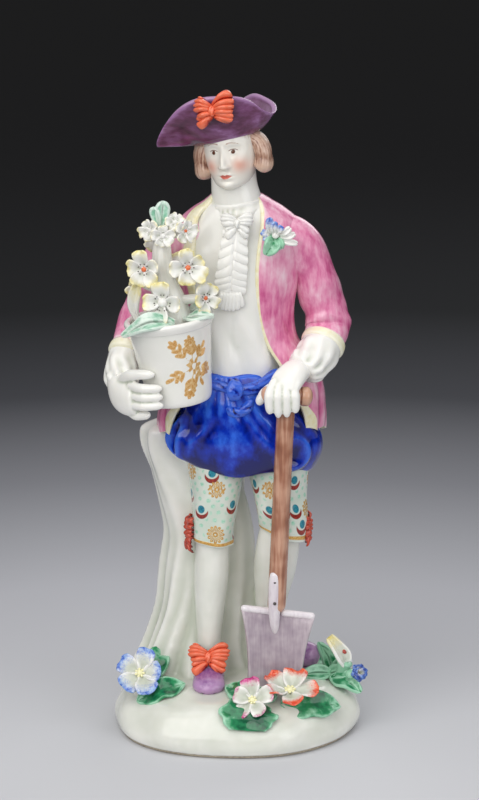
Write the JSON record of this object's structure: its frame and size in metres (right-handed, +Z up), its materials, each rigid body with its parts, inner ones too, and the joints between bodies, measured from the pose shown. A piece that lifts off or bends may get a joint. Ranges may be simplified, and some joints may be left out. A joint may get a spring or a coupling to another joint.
{
  "type": "porcelain gardener figure",
  "caption": "Glazed porcelain figure of a gardener in a cocked hat, coat and apron, with a pot of flowers and a spade, on a mound base with a tree stump.",
  "frame": {"origin": "middle of the flat underside of the mound base", "axes": "+Z up along the standing figure, -Y the way the figure faces, +X towards the hand on the spade"},
  "size_m": [0.0805, 0.0707, 0.2053],
  "materials": {
    "porcelain": "gloss",
    "enamel_pink": "gloss",
    "enamel_yellow": "gloss",
    "enamel_blue": "gloss",
    "enamel_purple": "gloss",
    "enamel_red": "gloss",
    "enamel_green": "gloss",
    "enamel_brown": "gloss",
    "enamel_lavender": "gloss",
    "enamel_hair": "gloss",
    "patterned_breeches": "gloss",
    "unglazed_foot": "matte"
  },
  "bodies": {
    "root": {"gardener_figure": "porcelain"}
  },
  "joints": []
}
